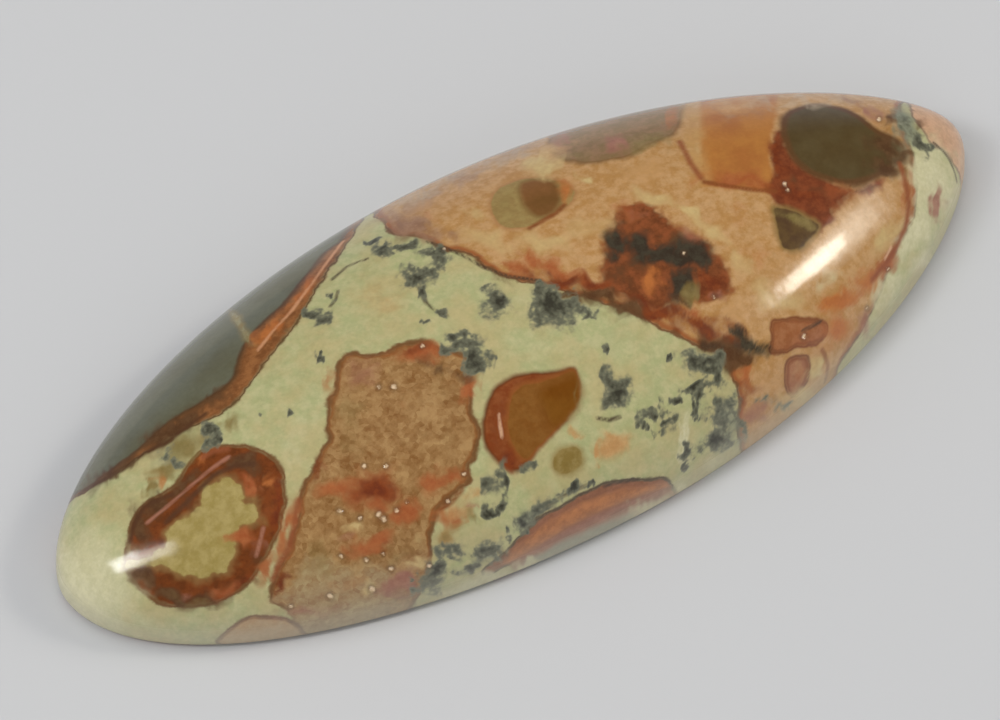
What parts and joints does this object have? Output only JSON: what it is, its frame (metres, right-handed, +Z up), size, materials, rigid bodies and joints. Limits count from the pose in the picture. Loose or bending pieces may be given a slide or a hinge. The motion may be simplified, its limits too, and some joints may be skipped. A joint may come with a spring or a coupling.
{
  "type": "polished jasper cabochon",
  "caption": "Long oval cabochon of brecciated yellow-green and red-brown jasper: polished dome over a low girdle, bevelled edge and flat matte base.",
  "frame": {"origin": "middle of the flat base", "axes": "+X along the stone towards its red-brown end, +Y across it, +Z up through the dome"},
  "size_m": [0.042, 0.0174, 0.0061],
  "materials": {
    "stone": "high polish on the dome, fine-ground matte on the base"
  },
  "bodies": {
    "root": {"cabochon": "stone"}
  },
  "joints": []
}
